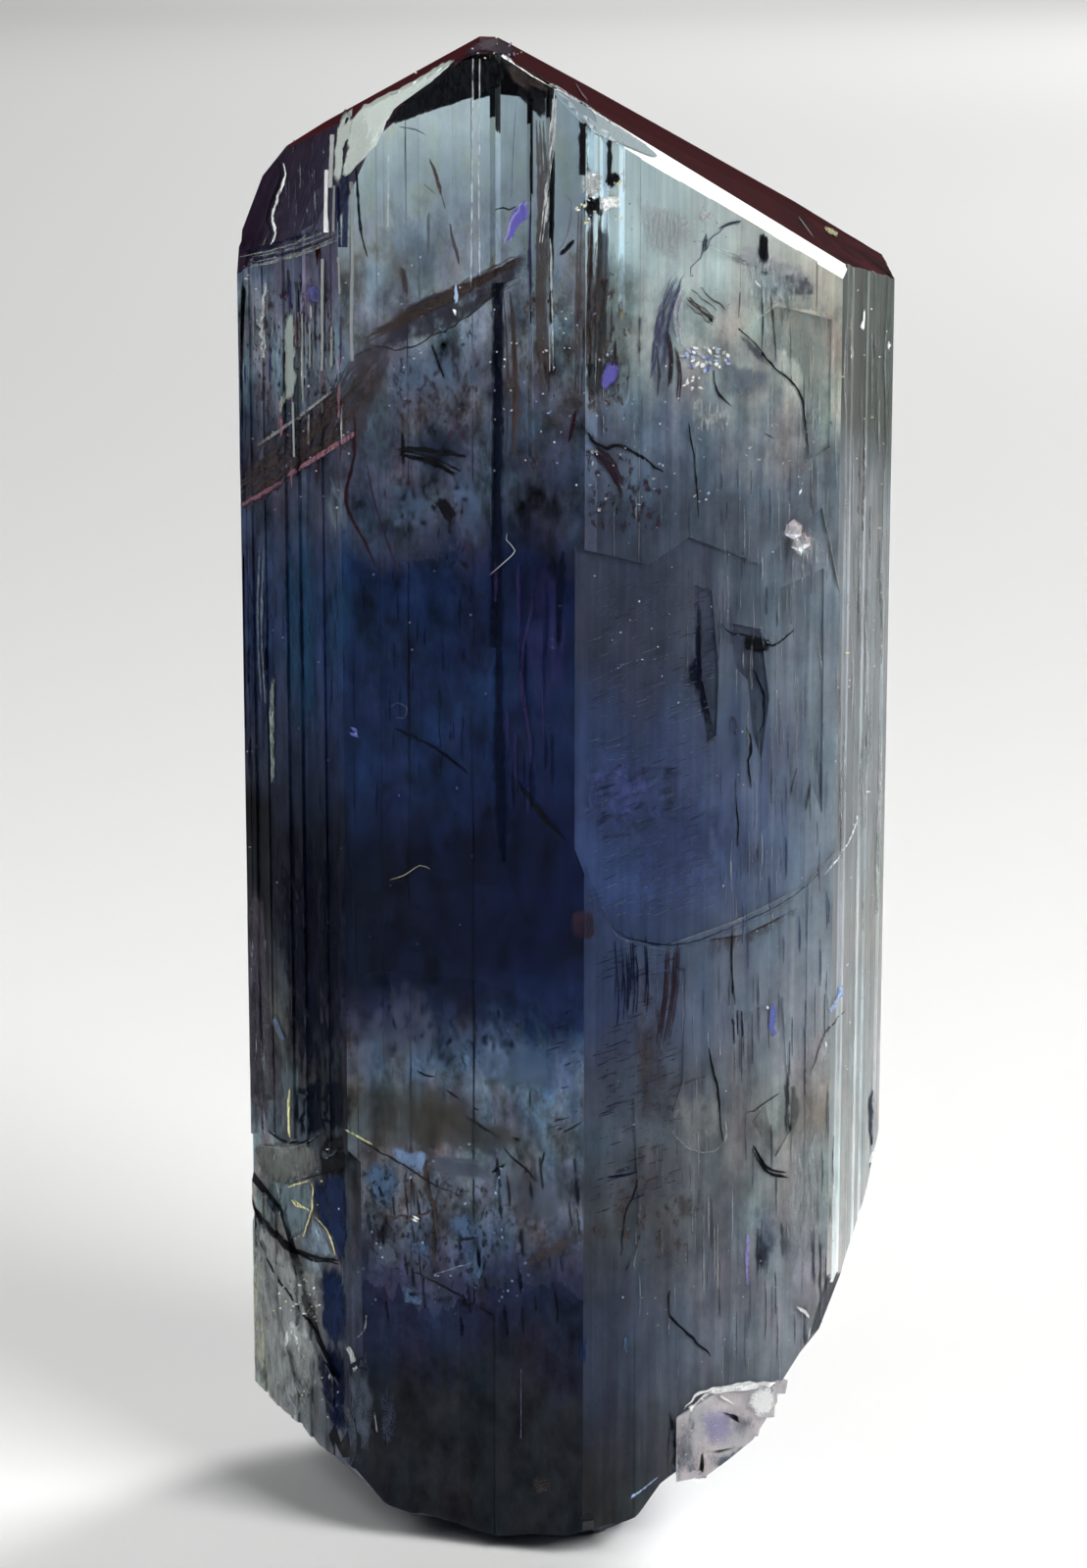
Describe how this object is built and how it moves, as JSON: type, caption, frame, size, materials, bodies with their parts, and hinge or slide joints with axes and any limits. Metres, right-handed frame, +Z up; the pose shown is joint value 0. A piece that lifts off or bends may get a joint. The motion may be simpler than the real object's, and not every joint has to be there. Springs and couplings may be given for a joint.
{
  "type": "tanzanite crystal",
  "caption": "Upright natural tanzanite crystal: a flattened, striated prism with a roof-shaped top, a broken foot it stands on and a small pale crystal grown into the foot.",
  "frame": {"origin": "centre of the bounding box's base, on the flat patch of the broken foot that the crystal stands on", "axes": "+Z up the crystal's length to its roof-shaped top, +X to the right across its width as seen from the front, +Y from the front to the back through its depth"},
  "size_m": [0.0181, 0.012, 0.0417],
  "materials": {
    "tanzanite": "clear zoisite crystal, grey blue at the top and deep violet blue below, with natural striated and broken faces",
    "pale_zoisite": "cloudy pale lavender crystal and white grains",
    "inclusion": "brown violet healed fractures and dark mineral specks inside the crystal",
    "lint": "fine pale dust fibres lying on the faces"
  },
  "bodies": {
    "root": {"tanzanite_crystal": "tanzanite"}
  },
  "joints": []
}
